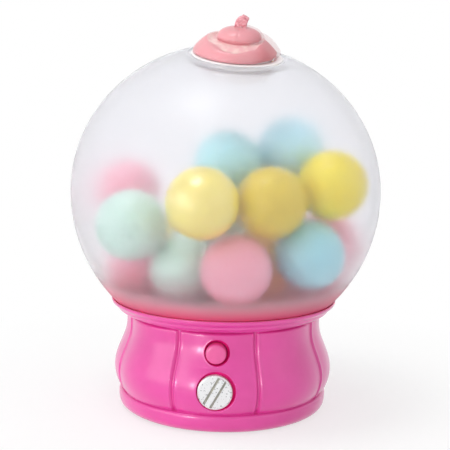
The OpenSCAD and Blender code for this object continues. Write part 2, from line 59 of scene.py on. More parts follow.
# Sizes of the machine in millimetres, on the same values as the part's source.
BULGE_R, BULGE_Z = 25.05, 9.3
NECK_R, NECK_Z = 22.2, 19.8
PLINTH_H = 4.4
FLUTES = 8
FLUTE_OFFSET = 6.144
FLUTE_TOP, FLUTE_FOOT_R = 22.0, 23.6
SEAM_HALF, SEAM_DEPTH = 0.2, 0.42
SHELL_WALL = 1.85
GLOBE_R, GLOBE_Z, GLOBE_CUT = 35.0, 49.57, 22.45
GLOBE_WALL, GLOBE_FLAT = 1.0, 0.95
PORT_LEAN, PORT_TURN = math.radians(13.2), math.radians(-71)
PORT_R, PORT_FACE = 8.0, 31.15
RIM = 31.7
KNOB_Z, KNOB_R, KNOB_RECESS_R = 9.7, 3.75, 4.55
BAR_ANGLE = math.radians(61)
BUTTON_Z, BUTTON_RECESS_R = 17.7, 2.8
BALLS, FRONT_BALL = 18, "gumball_2"

# ---- camera, light and stage ---------------------------------------------------------------

# The camera stands in front, a little to the right, and looks down. Distances are in metres.
CAMERA_TURN, CAMERA_PITCH, CAMERA_ROLL = math.radians(3.5), 0.155, math.radians(1.1)
CAMERA_DISTANCE, CAMERA_HEIGHT = 0.25, 0.08089
LAMP_TARGET = Vector((0, 0, 0.045))
WORLD_LIGHT = 0.62

camera_data = bpy.data.cameras.new("camera")
camera_data.lens = 88.58
camera_data.clip_start = 0.01
camera = bpy.data.objects.new("camera", camera_data)
camera.location = (CAMERA_DISTANCE * math.sin(CAMERA_TURN),
                   -CAMERA_DISTANCE * math.cos(CAMERA_TURN), CAMERA_HEIGHT)
camera.rotation_euler = (Matrix.Rotation(CAMERA_TURN, 3, "Z")
                         @ Matrix.Rotation(math.pi / 2 - CAMERA_PITCH, 3, "X")
                         @ Matrix.Rotation(CAMERA_ROLL, 3, "Z")).to_euler()
bpy.context.scene.collection.objects.link(camera)
bpy.context.scene.camera = camera
bpy.context.scene.view_settings.view_transform = "Standard"


def linear(hex_colour):
    """A colour written as sRGB hex, turned to linear, and opaque."""
    parts = [int(hex_colour[i:i + 2], 16) / 255 for i in (1, 3, 5)]
    return [p / 12.92 if p <= 0.04045 else ((p + 0.055) / 1.055) ** 2.4 for p in parts] + [1.0]


def add(tree, kind, inputs=None, **settings):
    """Adds a shader node with its settings. An input is a constant or another node's socket."""
    made = tree.nodes.new(kind)
    for name, value in settings.items():
        setattr(made, name, value)
    for name, value in (inputs or {}).items():
        socket = made.inputs[name]
        if isinstance(value, bpy.types.NodeSocket):
            tree.links.new(value, socket)
        else:
            socket.default_value = value
    return made


def light_seen(tree):
    """1 for what is seen directly, in gloss or through the globe, and 0 for light on a surface."""
    rays = add(tree, "ShaderNodeLightPath")
    seen = rays.outputs["Is Camera Ray"]
    for kind in ("Is Transmission Ray", "Is Glossy Ray"):
        seen = add(tree, "ShaderNodeMath", {0: seen, 1: rays.outputs[kind]},
                   operation="MAXIMUM").outputs[0]
    return seen


def soft_box(name, size, power, place):
    """A square white lamp at place, in metres, that faces the middle of the machine."""
    data = bpy.data.lights.new(name, "AREA")
    data.shape, data.size, data.energy = "SQUARE", size, power
    lamp = bpy.data.objects.new(name, data)
    lamp.location = place
    lamp.rotation_euler = (LAMP_TARGET - Vector(place)).to_track_quat("-Z", "Y").to_euler()
    bpy.context.scene.collection.objects.link(lamp)


soft_box("top_lamp", 0.17, 0.95, (-0.135, -0.11, 0.54))
soft_box("left_lamp", 0.30, 0.42, (-0.42, -0.25, 0.16))
soft_box("front_lamp", 0.045, 0.36, (-0.20, -0.36, 0.05))
soft_box("right_lamp", 0.26, 0.07, (0.45, -0.25, 0.20))

world = bpy.data.worlds.new("white_studio")
world.use_nodes = True
bpy.context.scene.world = world
tree = world.node_tree
tree.nodes.clear()
seen = light_seen(tree)
strength = add(tree, "ShaderNodeMapRange", {
    "Value": seen, "To Min": WORLD_LIGHT, "To Max": 1.0})
sky = add(tree, "ShaderNodeBackground", {"Color": (1, 1, 1, 1), "Strength": strength.outputs[0]})
add(tree, "ShaderNodeOutputWorld", {"Surface": sky.outputs[0]})

# ---- materials -----------------------------------------------------------------------------

# The part of a noise's range over which spots come in, where a finish gives none of its own.
SPOTS_FROM, SPOTS_FULL = 0.35, 0.65


def finish(name, colour, shader, spots=None, grain=None):
    """A Principled material. spots is (other colour, size in mm, share of it) and may end with
    where in the noise the spots begin and are full; grain is (size in mm, depth in mm). Both
    follow the piece in Object coordinates."""
    material = bpy.data.materials.new(name)
    material.use_nodes = True
    tree = material.node_tree
    tree.nodes.clear()
    bsdf = add(tree, "ShaderNodeBsdfPrincipled", {"Base Color": linear(colour), **shader})
    add(tree, "ShaderNodeOutputMaterial", {"Surface": bsdf.outputs[0]})
    place = add(tree, "ShaderNodeTexCoord").outputs["Object"]
    if spots:
        other, size, share, first, full = (*spots, SPOTS_FROM, SPOTS_FULL)[:5]
        cloud = add(tree, "ShaderNodeTexNoise", {"Vector": place, "Scale": 1 / (size * MM),
                                                 "Detail": 3.0, "Roughness": 0.55})
        amount = add(tree, "ShaderNodeMapRange", {"Value": cloud.outputs["Fac"], "From Min": first,
                                                  "From Max": full, "To Max": share})
        blend = add(tree, "ShaderNodeMix", {0: amount.outputs[0], 6: linear(colour),
                                            7: linear(other)}, data_type="RGBA")
        tree.links.new(blend.outputs[2], bsdf.inputs["Base Color"])
    if grain:
        size, depth = grain
        rough = add(tree, "ShaderNodeTexNoise", {"Vector": place, "Scale": 1 / (size * MM),
                                                 "Detail": 2.0})
        bump = add(tree, "ShaderNodeBump", {"Height": rough.outputs["Fac"], "Distance": depth * MM,
                                            "Strength": 1.0})
        tree.links.new(bump.outputs[0], bsdf.inputs["Normal"])
    return material


def graded(material, axis, start, end, colour):
    """Turns a material's colour into another between two places in mm on an axis of the machine.
    Returns the node that runs from 0 to 1 between them."""
    tree = material.node_tree
    base = tree.nodes["Principled BSDF"].inputs["Base Color"]
    coords = add(tree, "ShaderNodeTexCoord")
    place = add(tree, "ShaderNodeSeparateXYZ", {0: coords.outputs["Object"]})
    along = add(tree, "ShaderNodeMapRange", {
        "Value": place.outputs[axis], "From Min": start * MM, "From Max": end * MM},
        interpolation_type="SMOOTHSTEP")
    own = base.links[0].from_socket if base.is_linked else tuple(base.default_value)
    mixed = add(tree, "ShaderNodeMix", {0: along.outputs[0], 6: own, 7: linear(colour)},
                data_type="RGBA")
    tree.links.new(mixed.outputs[2], base)
    return along


# Injection moulded vinyl, dyed hot pink: softly glossy, with the faint clouding of the dye.
PINK_VINYL = finish("moulded_pink_vinyl", "#E23A9F", {
    "Roughness": 0.38, "Coat Weight": 1.0, "Coat Roughness": 0.24, "Subsurface Weight": 0.06,
    "Subsurface Radius": (0.0015, 0.0006, 0.0008), "Subsurface Scale": 1.0},
    spots=("#DA3095", 6.0, 0.6), grain=(1.6, 0.012))
# The same vinyl inside the recesses, painted a deeper crimson as the shade that falls in them.
RECESS_SHADE_VINYL = finish("painted_recess_shade", "#F50F86", {
    "Roughness": 0.5, "Subsurface Weight": 0.3, "Subsurface Radius": (0.003, 0.0006, 0.0012),
    "Subsurface Scale": 1.0}, spots=("#E8077A", 3.0, 0.6))
# The button's vinyl looks a little paler than the base's, and as glossy.
BUTTON_VINYL = finish("moulded_button_vinyl", "#E9559D", {
    "Roughness": 0.34, "Coat Weight": 0.8, "Coat Roughness": 0.2},
    spots=("#DF4A92", 2.5, 0.6), grain=(1.2, 0.012))
# The parts under the balls and the shell's cup: a redder pink, painted paler as the light that
# reaches them through the frosted globe; it shows in the globe's foot.
LIT_INNER_VINYL = finish("inner_vinyl_painted_light", "#FFAFC5", {
    "Roughness": 0.4, "Subsurface Weight": 0.2, "Subsurface Radius": (0.003, 0.0015, 0.0015),
    "Subsurface Scale": 1.0}, spots=("#FFA0BA", 5.0, 0.6), grain=(1.6, 0.012))
# Frosted polypropylene: clear plastic from a blasted mould, so light scatters at its surface.
# Its IOR is far below the plastic's 1.49, at which the thin wall turned grey by inner reflection.
FROSTED = finish("frosted_polypropylene", "#F9F9FC", {
    "Roughness": 0.47, "Transmission Weight": 0.95, "IOR": 1.09, "Coat Weight": 0.4,
    "Coat Roughness": 0.38}, grain=(0.9, 0.006))
# Toward its foot the globe is painted pink and made less clear: a painted glow of the pink base
# showing through the frosted wall.
low = graded(FROSTED, "Z", 31.5, 25, "#F4558A")
tree = FROSTED.node_tree
clear = add(tree, "ShaderNodeMapRange", {"Value": low.outputs[0], "To Min": 0.95, "To Max": 0.4})
tree.links.new(clear.outputs[0], tree.nodes["Principled BSDF"].inputs["Transmission Weight"])
# Milky silicone: a ring of white round the cap.
MILKY_SEAL = finish("milky_silicone_seal", "#FFFAFB", {
    "Roughness": 0.25, "Subsurface Weight": 0.3, "Subsurface Radius": (0.002, 0.002, 0.002),
    "Subsurface Scale": 1.0}, grain=(1.0, 0.01))
# Thin clear stopper, of which only its edges show.
CLEAR_PLUG = finish("translucent_plug", "#FDF7F9", {"Roughness": 0.3, "Alpha": 0.3},
                    grain=(1.0, 0.01))
# Milky clear coat over the cap: it pales what is under it and shows as a rim where it is thick.
GLAZE = finish("milky_clear_coat", "#FAD3D8", {"Roughness": 0.14, "Alpha": 0.26},
               spots=("#F8E6E4", 3.0, 0.7), grain=(1.5, 0.03))
# The cap's rose vinyl: paler and redder than the base's, and painted darker toward its right side
# as the shade that falls there.
ROSE_VINYL = finish("moulded_rose_vinyl", "#E68F9A", {
    "Roughness": 0.34, "Subsurface Weight": 0.15, "Subsurface Radius": (0.002, 0.0008, 0.0008),
    "Subsurface Scale": 1.0}, spots=("#DC7C88", 3.0, 0.6), grain=(0.9, 0.03))
# Painted shade: a darker red toward the swirl's right side.
graded(ROSE_VINYL, "X", 4.5, 9.5, "#CC4152")
# Silver paint, nearly white and only half metallic to the eye, with fine dark specks.
SILVER = finish("silver_paint", "#E6E8E9", {"Roughness": 0.36, "Metallic": 0.45},
                spots=("#6F7376", 0.45, 0.75, 0.58, 0.66), grain=(0.35, 0.03))
# The knob's grooves are painted a warm grey as the shade that falls in them, without the silver's
# shine.
GROOVE_SHADE_GREY = finish("painted_groove_shade", "#A5A6A1", {"Roughness": 0.5},
                     spots=("#C4BFAE", 0.9, 0.9))
# The shoulder of the lower tier is painted cream: a painted highlight where its top faces the
# light.
SHOULDER_HIGHLIGHT_VINYL = finish("painted_shoulder_highlight", "#F0B6B8", {"Roughness": 0.25},
                     spots=("#F9DDD6", 1.8, 0.9, 0.42, 0.6), grain=(1.2, 0.05))
# The torn stub looks stretched: paler, with dark flecks painted in as the shade of its creases.
TORN_VINYL = finish("torn_rose_vinyl", "#E8A3AC", {
    "Roughness": 0.4, "Subsurface Weight": 0.1, "Subsurface Radius": (0.002, 0.0008, 0.0008),
    "Subsurface Scale": 1.0},
    spots=("#B85C6C", 0.7, 0.8, 0.52, 0.66), grain=(0.5, 0.05))
# Zinc plate on screws, shafts and clips: bluish grey with a soft gloss.
STEEL = finish("zinc_plated_steel", "#B9BCC0", {"Roughness": 0.32, "Metallic": 1.0},
               spots=("#A2A6AC", 1.0, 0.5))
# Turned brass bushes.
BRASS = finish("turned_brass", "#C9A35A", {"Roughness": 0.3, "Metallic": 1.0},
               spots=("#B58E48", 1.0, 0.5))
# Moulded acetal gears and deck: off-white and silky.
ACETAL = finish("white_acetal", "#E9E7E1", {"Roughness": 0.42}, spots=("#DDDAD2", 4.0, 0.5),
                grain=(1.0, 0.01))
# Pale rubbers: the stopper's O-ring, and duller, finely grained pads for feet.
SEAL_RUBBER = finish("seal_rubber", "#C9C4C6", {"Roughness": 0.6}, spots=("#B9B3B6", 1.5, 0.5))
FOOT_RUBBER = finish("foot_rubber", "#D9D4D6", {"Roughness": 0.75}, spots=("#C8C2C5", 1.0, 0.5),
                     grain=(0.5, 0.02))


def gumball_finish(name, colour, cloud, polish=0.0):
    """Dyed styrene with a silky mould surface, or with a polished skin over it."""
    return finish(name, colour, {
        "Roughness": 0.3, "Subsurface Weight": 0.6, "Subsurface Radius": (0.004, 0.004, 0.004),
        "Subsurface Scale": 1.0, "Coat Weight": polish, "Coat Roughness": 0.34, "Coat IOR": 2.5},
        spots=(cloud, 4.0, 0.6), grain=(1.4, 0.02))


BALL_FINISHES = {
    "gumball_mint": gumball_finish("styrene_mint", "#C9E5D8", "#D3ECE0"),
    "gumball_yellow": gumball_finish("styrene_yellow", "#F0DA12", "#F3E238"),
    "gumball_amber": gumball_finish("styrene_amber", "#D6BA08", "#DFC924"),
    "gumball_pink": gumball_finish("styrene_pink", "#EFA2B4", "#F2AFBF"),
    "gumball_blue": gumball_finish("styrene_blue", "#9FD8E2", "#AEDFE7"),
    "gumball_pale_blue": gumball_finish("styrene_pale_blue", "#B8E4F0", "#C4EAF3"),
    "gumball_teal": gumball_finish("styrene_teal", "#A6D8DE", "#B2DFE3"),
    "gumball_orange": gumball_finish("styrene_orange", "#FFB648", "#FFC269"),
}

# The ball at the globe's front wall takes the big highlight. The high IOR of its coat is what
# lets that show through the frosting.
POLISHED = gumball_finish("polished_styrene_yellow", "#F0DA12", "#F3E238", 1.0)

# ---- helpers for the shapes ----------------------------------------------------------------


def spun(profile, steps, closed=True):
    """A mesh of the profile's (radius, height) points turned about Z."""
    bm = bmesh.new()
    points = [bm.verts.new((r, 0, z)) for r, z in profile]
    pairs = zip(points, points[1:] + points[:1] if closed else points[1:])
    edges = [bm.edges.new(pair) for pair in pairs]
    bmesh.ops.spin(bm, geom=points + edges, cent=(0, 0, 0), axis=(0, 0, 1), angle=2 * math.pi,
                   steps=steps, use_merge=True)
    bmesh.ops.remove_doubles(bm, verts=bm.verts, dist=1e-4)
    bmesh.ops.recalc_face_normals(bm, faces=bm.faces)
    return bm


def piece(name, bm, material, body, replaces=(), levels=1):
    """Makes the mesh, in millimetres so far, a finished piece on its body."""
    bmesh.ops.scale(bm, vec=(MM, MM, MM), verts=bm.verts)
    mesh = bpy.data.meshes.new(name)
    bm.to_mesh(mesh)
    bm.free()
    mesh.shade_smooth()
    mesh.materials.append(material)
    made = bpy.data.objects.new(name, mesh)
    bpy.context.scene.collection.objects.link(made)
    if levels:
        smooth = made.modifiers.new("smooth", "SUBSURF")
        smooth.levels = smooth.render_levels = levels
    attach(made, body)
    if replaces:
        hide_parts(*replaces)
    return made


# ---- base shell ----------------------------------------------------------------------------

# Rounding of a flute's sides, top and foot, how deep its foot is cut in, and the light bead
# that stands beside each seam: its height, its distance from the seam and its width.
SIDE_ROUND, TOP_ROUND, FOOT_ROUND, FOOT_CUT = 0.55, 0.7, 0.9, 0.62
BEAD_HEIGHT, BEAD_PLACE, BEAD_WIDTH = 0.15, 0.75, 0.22
PANEL = 360 / FLUTES
# Angles from a seam at which the columns of a flute stand, in degrees: they crowd at the seam.
HALF_FLUTE = [0, 0.4, 0.7, 1.0, 1.4, 1.8, 2.3, 3.2, 5.0, 8.0, 12.0, 17.0, 22.5]
COLUMNS = len(HALF_FLUTE) * 2 - 2
ANGLES = HALF_FLUTE + [PANEL - a for a in HALF_FLUTE[-2:0:-1]]


def crest_r(z):
    """Radius of a flute's crest at height z."""
    if z >= BULGE_Z:
        t = min(1, (z - BULGE_Z) / (NECK_Z - BULGE_Z))
        return NECK_R + (BULGE_R - NECK_R) * (1 + math.cos(math.pi * t)) / 2
    return BULGE_R - (BULGE_R - FLUTE_FOOT_R) * ((BULGE_Z - z) / (BULGE_Z - PLINTH_H)) ** 2


def flute_r(angle, z):
    """Radius of the fluted wall, with the rounded edges of each flute and the seam grooves."""
    across = (math.degrees(angle) + 90 + PANEL / 2) % PANEL - PANEL / 2
    a, edge = math.radians(abs(across)), math.radians(PANEL / 2)
    round_r = crest_r(z) - FLUTE_OFFSET

    def arc(turn):
        return FLUTE_OFFSET * math.cos(turn) + math.sqrt(
            round_r ** 2 - (FLUTE_OFFSET * math.sin(turn)) ** 2)
    out, seam = arc(a), arc(edge) - SEAM_DEPTH
    from_seam = out * math.sin(edge - a)
    side = max(0, 1 - (from_seam - SEAM_HALF) / SIDE_ROUND)
    top = max(0, 1 - (FLUTE_TOP - z) / TOP_ROUND)
    foot = FOOT_CUT * max(0, 1 - (z - PLINTH_H) / FOOT_ROUND)
    near = min(1, math.sqrt(side ** 2 + top ** 2 + foot ** 2))
    bead = BEAD_HEIGHT * math.exp(-((from_seam - BEAD_PLACE) / BEAD_WIDTH) ** 2)
    return seam + (out + bead - seam) * math.sqrt(1 - near ** 2)


def on_flute(x, z):
    """The y at which the front flute's wall stands over x and z."""
    y = -24.0
    for _ in range(4):
        y = -math.sqrt(flute_r(math.atan2(y, x), z) ** 2 - x ** 2)
    return y


def inner_wall_r(z):
    """Radius of the hollow inside the flutes at height z."""
    return min(crest_r(z), BULGE_R - 0.35) - SHELL_WALL


def on_inner_wall(x, z):
    """The y at which the front of that hollow stands over x and z."""
    return -math.sqrt(inner_wall_r(z) ** 2 - x ** 2)


def opened(bm, patch, radius, place, wall_r):
    """Opens a patch of the front flute's wall, (bottom, top, half its angle), round a hole at
    place, (x, z). Returns the hole's edges and the points between them and the patch's rim."""
    bottom, top, half_angle = patch

    def inside(face):
        middle = face.calc_center_median()
        angle = math.atan2(middle.y, middle.x)
        near = abs(math.hypot(middle.x, middle.y) - wall_r(angle, middle.z)) < 0.3
        front = abs(math.degrees(angle) + 90) < half_angle
        return front and bottom < middle.z < top and near
    faces = [f for f in bm.faces if inside(f)]
    rim = [e for e in dict.fromkeys(e for f in faces for e in f.edges)
           if sum(f in faces for f in e.link_faces) == 1]
    bmesh.ops.delete(bm, geom=faces, context="FACES")
    ring = bmesh.ops.create_circle(bm, segments=len(rim), radius=radius,
                                   matrix=Matrix.Translation((place[0], -24, place[1]))
                                   @ Matrix.Rotation(math.pi / 2, 4, "X"))["verts"]
    loop = list(dict.fromkeys(e for v in ring for e in v.link_edges))
    spokes = bmesh.ops.bridge_loops(bm, edges=rim + loop)["edges"]
    cut = bmesh.ops.subdivide_edges(bm, edges=spokes, cuts=2)["geom_inner"]
    return loop, [g for g in cut if isinstance(g, bmesh.types.BMVert)]


def stepped(bm, loop, place, steps):
    """Carries a hole's edge on through rings of (radius, y). A y above -1 counts from the
    fluted wall, inward."""
    for radius, y in steps:
        grown = bmesh.ops.extrude_edge_only(bm, edges=loop)["geom"]
        loop = [g for g in grown if isinstance(g, bmesh.types.BMEdge)]
        for v in {v for e in loop for v in e.verts}:
            flat = Vector((v.co.x - place[0], 0, v.co.z - place[1])).normalized() * radius
            x, z = flat.x + place[0], flat.z + place[1]
            v.co = (x, y if y < -1 else on_flute(x, z) + y, z)
    return loop


def hole(bm, patch, radius, place, wall_r, wall_y):
    """Opens a round hole that lies on the front wall, and returns its edge."""
    loop, rest = opened(bm, patch, radius, place, wall_r)
    for v in rest + [v for e in loop for v in e.verts]:
        v.co.y = wall_y(v.co.x, v.co.z)
    return loop


def base_shell():
    """The fluted shell: plinth, flutes, collar, the cup that holds the globe, and the inside."""
    rows = [4.4, 4.5, 4.65, 4.85, 5.2, 5.9, 6.8, 7.8, 8.8, 9.8, 10.8, 11.8, 12.8, 13.7, 14.42,
            14.74, 15.5, 16.4, 17.3, 18.2, 19.1, 20.0, 20.75, 21.3, 21.55, 21.75, 21.9, 22.0]
    plinth = [(21.9, 0.3), (22.3, 0.3), (22.7, 0.42), (23.3, 0.9), (23.7, 1.5), (23.88, 2.3),
              (23.9, 3.2), (23.88, 3.75), (23.75, 4.1), (23.45, 4.3), (23.2, 4.38)]
    flute_mark = 23.0  # stands for the fluted wall in the profile, and is moved out to it below
    flutes = [(flute_mark, z) for z in rows]
    collar = [(22.05, 22.12), (22.5, 22.25), (23.1, 22.5), (23.9, 22.95), (24.3, 23.3),
              (24.45, 23.65), (24.5, 23.85), (24.75, 24.0), (25.3, 24.35), (25.6, 24.7),
              (25.72, 25.0), (25.72, 25.2), (25.62, 25.34), (25.45, 25.38), (25.3, 25.2)]
    cup_r = GLOBE_R + 0.1
    cup = [(math.sqrt(cup_r ** 2 - (GLOBE_Z - z) ** 2), z) for z in (24.6, 23.8, 23.0, 22.5)]
    ledge = [(22.1, 22.4), (21.0, 22.4), (18.6, 22.4), (16.4, 22.4), (16.2, 22.3), (16.2, 21.3),
             (16.4, 21.2), (18.6, 21.2), (20.2, 21.2), (20.35, 21.1)]
    inside = [(inner_wall_r(z), z) for z in (20.6, 19.4, 18.2, 17.0, 15.8, 14.7, 14.42, 13.4,
                                             12.2, 11.0, 9.8, 8.6, 7.4, 6.2, 5.1, 4.4)]
    socket = [(21.55, 3.6), (21.5, 2.4), (21.5, 0.6), (21.6, 0.35)]
    bm = spun(plinth + flutes + collar + cup + ledge + inside + socket, COLUMNS * FLUTES)
    for v in bm.verts:
        turn = math.degrees(math.atan2(v.co.y, v.co.x))
        panel, column = divmod(round(turn / (360 / (COLUMNS * FLUTES))), COLUMNS)
        angle = math.radians(panel * PANEL + ANGLES[column] + PANEL / 2)
        r = math.hypot(v.co.x, v.co.y)
        if abs(r - flute_mark) < 1e-4 and rows[0] - 0.01 < v.co.z < rows[-1] + 0.01:
            r = flute_r(angle, v.co.z)
        v.co.x, v.co.y = r * math.cos(angle), r * math.sin(angle)
    # From inside, the bosses behind the knob and the button with the ends of their bores.
    ends = []
    for patch, radius, place, boss in (
            ((4.4, 14.42, 15.5), 4.7, (0, KNOB_Z),
             [(4.7, -21.0), (4.6, -20.6), (3.6, -20.6), (3.5, -20.5), (3.5, -18.7),
              (3.4, -18.6), (2.6, -18.6), (2.5, -18.7)]),
            ((14.7, 20.6, 11.5), 2.95, (0, BUTTON_Z),
             [(2.95, -17.8), (2.85, -17.6), (1.08, -17.6), (0.98, -17.7)])):
        rim = hole(bm, patch, radius, place, lambda angle, z: inner_wall_r(z), on_inner_wall)
        ends.append(stepped(bm, rim, place, boss))
    # From outside, the two recesses, each a little off its bore's middle, and then the bore.
    knob_r, button_r, off = KNOB_RECESS_R, BUTTON_RECESS_R, 0.15
    for end, patch, radius, place, recess, bore in (
            (ends[0], (4.85, 14.42, 15.5), knob_r - 0.02, (0.25, KNOB_Z + off),
             [(knob_r - 0.08, -0.05), (knob_r - 0.2, -0.03), (knob_r - 0.3, 0.08),
              (knob_r - 0.35, 0.3), (knob_r - 0.38, -23.7), (knob_r - 0.55, -23.36),
              (knob_r - 0.8, -23.32)],
             [(2.6, -23.3), (2.5, -23.2)]),
            (ends[1], (14.74, 20.75, 11.5), button_r + 0.2, (0.2, BUTTON_Z + off),
             [(button_r + 0.1, -0.05), (button_r, -0.03), (button_r - 0.08, 0.1),
              (button_r - 0.1, 0.3), (button_r - 0.12, -21.7), (button_r - 0.25, -21.5)],
             [(2.4, -21.45), (2.35, -21.35), (2.35, -19.1), (2.25, -19.0), (1.08, -19.0),
              (0.98, -18.9)])):
        rim = hole(bm, patch, radius, place, flute_r, on_flute)
        wall = set(bm.faces)
        last = stepped(bm, stepped(bm, rim, place, recess), (0, place[1] - off), bore)
        # Faces sunk in from the fluted wall take the recess material: painted shade.
        for face in set(bm.faces) - wall:
            middle = face.calc_center_median()
            face.material_index = int(middle.y - on_flute(middle.x, middle.z) > 0.05)
        bmesh.ops.bridge_loops(bm, edges=end + last)
    # The cup under the globe takes the inner material: the same vinyl, painted paler as light
    # through the globe.
    for face in bm.faces:
        middle = face.calc_center_median()
        over_cup = GLOBE_Z - math.sqrt((cup_r + 0.15) ** 2 - middle.x ** 2 - middle.y ** 2)
        if middle.z > max(22.2, over_cup):
            face.material_index = 2
    bmesh.ops.recalc_face_normals(bm, faces=bm.faces)
    made = piece("fluted_shell", bm, PINK_VINYL, "housing", ["base_shell"])
    made.data.materials.append(RECESS_SHADE_VINYL)
    made.data.materials.append(LIT_INNER_VINYL)


base_shell()

# ---- globe ---------------------------------------------------------------------------------

LEANED = (Matrix.Translation((0, 0, GLOBE_Z)) @ Matrix.Rotation(PORT_TURN, 4, "Z")
          @ Matrix.Rotation(PORT_LEAN, 4, "Y") @ Matrix.Rotation(-PORT_TURN, 4, "Z"))


def wall_points(r, first, last, steps):
    """Points on a sphere of radius r between two angles from the port's axis, in degrees."""
    angles = [math.radians(first + (last - first) * i / steps) for i in range(steps + 1)]
    return [(r * math.sin(a), r * math.cos(a)) for a in angles]


def globe():
    """The hollow frosted globe, cut off at its foot, with the port on its leaned axis."""
    # Drawn 0.02 mm small, which keeps it inside the part's own box.
    outer_r, inner_r = GLOBE_R - 0.02, GLOBE_R - GLOBE_WALL
    below_cut, steps = 155, 56
    face = [(PORT_R + 0.1, PORT_FACE - 0.02), (PORT_R + 0.4, PORT_FACE), (PORT_R + 2.2, PORT_FACE),
            (PORT_R + 2.35, PORT_FACE + 0.03), (PORT_R + 2.5, PORT_FACE + 0.2)]
    neck = [(PORT_R + 2.7, PORT_FACE - 1.45), (PORT_R + 2.0, PORT_FACE - 1.5),
            (PORT_R + 0.3, PORT_FACE - 1.5), (PORT_R, PORT_FACE - 1.3), (PORT_R, PORT_FACE - 0.2)]
    outer = wall_points(outer_r, 19.2, below_cut, steps)
    inner = wall_points(inner_r, below_cut, 21, steps)
    bm = spun(face + outer + inner + neck, 96)
    on_wall = [v for v in bm.verts if abs(v.co.length - outer_r) < 1e-3
               or abs(v.co.length - inner_r) < 1e-3]
    bmesh.ops.transform(bm, matrix=LEANED, verts=bm.verts)
    for v in on_wall:
        # The upper half of the globe is a little flattened.
        flat = v.co - Vector((0, 0, GLOBE_Z))
        flat_r = flat.length if flat.z < 0 else flat.length / math.sqrt(
            1 + (flat.z / flat.length) ** 2 * (1 / GLOBE_FLAT ** 2 - 1))
        v.co = Vector((0, 0, GLOBE_Z)) + flat.normalized() * flat_r
    cut = bmesh.ops.bisect_plane(bm, geom=bm.verts[:] + bm.edges[:] + bm.faces[:],
                                 plane_co=(0, 0, GLOBE_CUT), plane_no=(0, 0, -1), clear_outer=True)
    rim = [g for g in cut["geom_cut"] if isinstance(g, bmesh.types.BMEdge)]
    bmesh.ops.bridge_loops(bm, edges=rim)
    bmesh.ops.recalc_face_normals(bm, faces=bm.faces)
    piece("frosted_globe", bm, FROSTED, "housing", ["globe"])


globe()

# ---- gumballs ------------------------------------------------------------------------------

def gumball(name, slot, turn):
    """One ball in the place of its node, turned so that its marks face their own way."""
    low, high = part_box(name)
    middle, radius = (low + high) / 2 / MM, (high - low).x / 2 / MM
    bm = bmesh.new()
    bmesh.ops.create_uvsphere(bm, u_segments=40, v_segments=24, radius=radius)
    for v in bm.verts:
        # The parting line of the mould, and the nib where the plastic came in.
        if abs(v.co.z) < 0.01:
            v.co *= 1.004
        if v.co.z > radius * 0.999:
            v.co.z += 0.12
    bmesh.ops.rotate(bm, matrix=turn, verts=bm.verts)
    # All of it is a little small, so that the line stays inside the ball's own radius.
    bmesh.ops.scale(bm, vec=(0.995, 0.995, 0.995), verts=bm.verts)
    bmesh.ops.translate(bm, vec=middle, verts=bm.verts)
    material = POLISHED if name == FRONT_BALL else BALL_FINISHES[slot]
    piece("ball_" + name.split("_")[1], bm, material, "tumbler", [name])


slots = {s["node"]: s["material_slot"] for s in frame["record"]["subparts"]}
rng = random.Random(7)
for number in range(1, BALLS + 1):
    name = f"gumball_{number}"
    spin = Matrix.Rotation(rng.uniform(0, 6.28), 3, "Z")
    tilt = Matrix.Rotation(rng.uniform(0.3, 2.8), 3, "X")
    gumball(name, slots[name], spin @ tilt)

# ---- swirl cap -----------------------------------------------------------------------------

# Each row runs round the swirl: (azimuth in degrees, value in mm) stops from the back, over the
# left, front and right side, to the back again. The front is at -90.
FOOT_R = [(-270, 9.55), (-180, 9.6), (-95, 9.6), (-69, 9.25), (-43, 8.2), (-8, 7.8), (25, 8.8),
          (90, 9.55)]
BELLY_R = [(-270, 9.65), (-180, 9.75), (-95, 9.72), (-60, 9.4), (-38, 9.1), (-8, 8.85), (25, 9.1),
           (90, 9.65)]
FACE_R = [(-270, 8.9), (-180, 9.0), (-95, 9.3), (-50, 8.8), (-10, 7.95), (30, 8.2), (90, 8.9)]
BROW_R = [(-270, 7.7), (-180, 7.8), (-95, 8.75), (-55, 7.8), (-15, 6.6), (30, 7.0), (90, 7.7)]
RIDGE_R = [(-270, 6.3), (-200, 6.5), (-140, 7.0), (-95, 7.9), (-62, 7.0), (-32, 5.8), (-5, 5.35),
           (30, 5.7), (90, 6.3)]
RIDGE_Z = [(-270, 3.75), (-200, 3.7), (-140, 3.0), (-95, 1.8), (-62, 2.5), (-32, 3.35), (-5, 3.4),
           (30, 3.5), (90, 3.75)]
TROUGH = [(-270, 0.3), (-180, 0.32), (-135, 0.05), (-95, -0.3), (-55, -0.05), (-25, 0.25), (0, 0.2),
          (90, 0.3)]
# Rows of the profile below: the painted highlight on the shoulder lies between two of them, and the
# upper tier comes after another.
HIGHLIGHT_FROM, HIGHLIGHT_TO, UPPER_TIER = 11.4, 14, 13


def stop(row, azimuth):
    """The row's value at an azimuth, smooth between its stops."""
    azimuth = (azimuth + 270) % 360 - 270
    for (a0, v0), (a1, v1) in zip(row, row[1:]):
        if azimuth <= a1:
            u = (azimuth - a0) / (a1 - a0)
            return v0 + (v1 - v0) * u * u * (3 - 2 * u)
    return row[-1][1]


